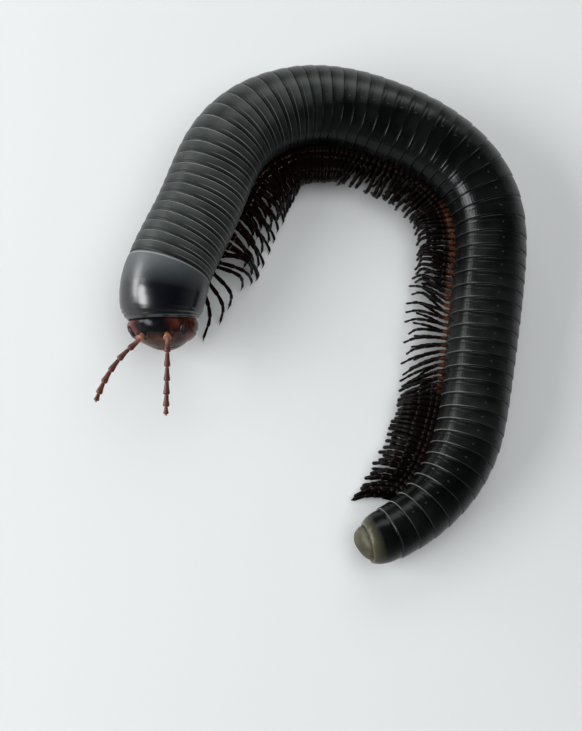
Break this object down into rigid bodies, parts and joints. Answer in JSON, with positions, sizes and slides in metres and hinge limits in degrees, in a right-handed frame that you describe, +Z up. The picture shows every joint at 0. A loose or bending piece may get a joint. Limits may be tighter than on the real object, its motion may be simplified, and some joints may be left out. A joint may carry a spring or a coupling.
{
  "type": "giant african millipede",
  "caption": "Still, life-size giant african millipede lying in an open C on its right side, with its front end up on its legs and its feelers out.",
  "frame": {"origin": "on the floor, under the middle of the animal's bounding box", "axes": "+Z up; +Y from the head and tail towards the top of the C; +X from the head's side of the C towards the tail's side"},
  "size_m": [0.0917, 0.1058, 0.0201],
  "materials": {
    "black_shell": "satin black shell with paler ring edges",
    "collum_shell": "glossy black shell",
    "brown_shell": "dark reddish brown, satin",
    "eye_black": "glossy black",
    "valve_brown": "olive brown, satin"
  },
  "bodies": {
    "root": {"head": "collum_shell", "collum": "collum_shell", "mouth_plate": "brown_shell", "mandible_left": "brown_shell", "mandible_right": "brown_shell", "eye_left": "eye_black", "eye_right": "eye_black", "antenna_left": "brown_shell", "antenna_right": "brown_shell", "tail_ring": "black_shell", "anal_valve_left": "valve_brown", "anal_valve_right": "valve_brown", "trunk_1": "black_shell", "trunk_2": "black_shell", "trunk_3": "black_shell", "trunk_4": "black_shell", "trunk_5": "black_shell", "trunk_6": "black_shell", "trunk_7": "black_shell", "trunk_8": "black_shell"}
  },
  "joints": []
}
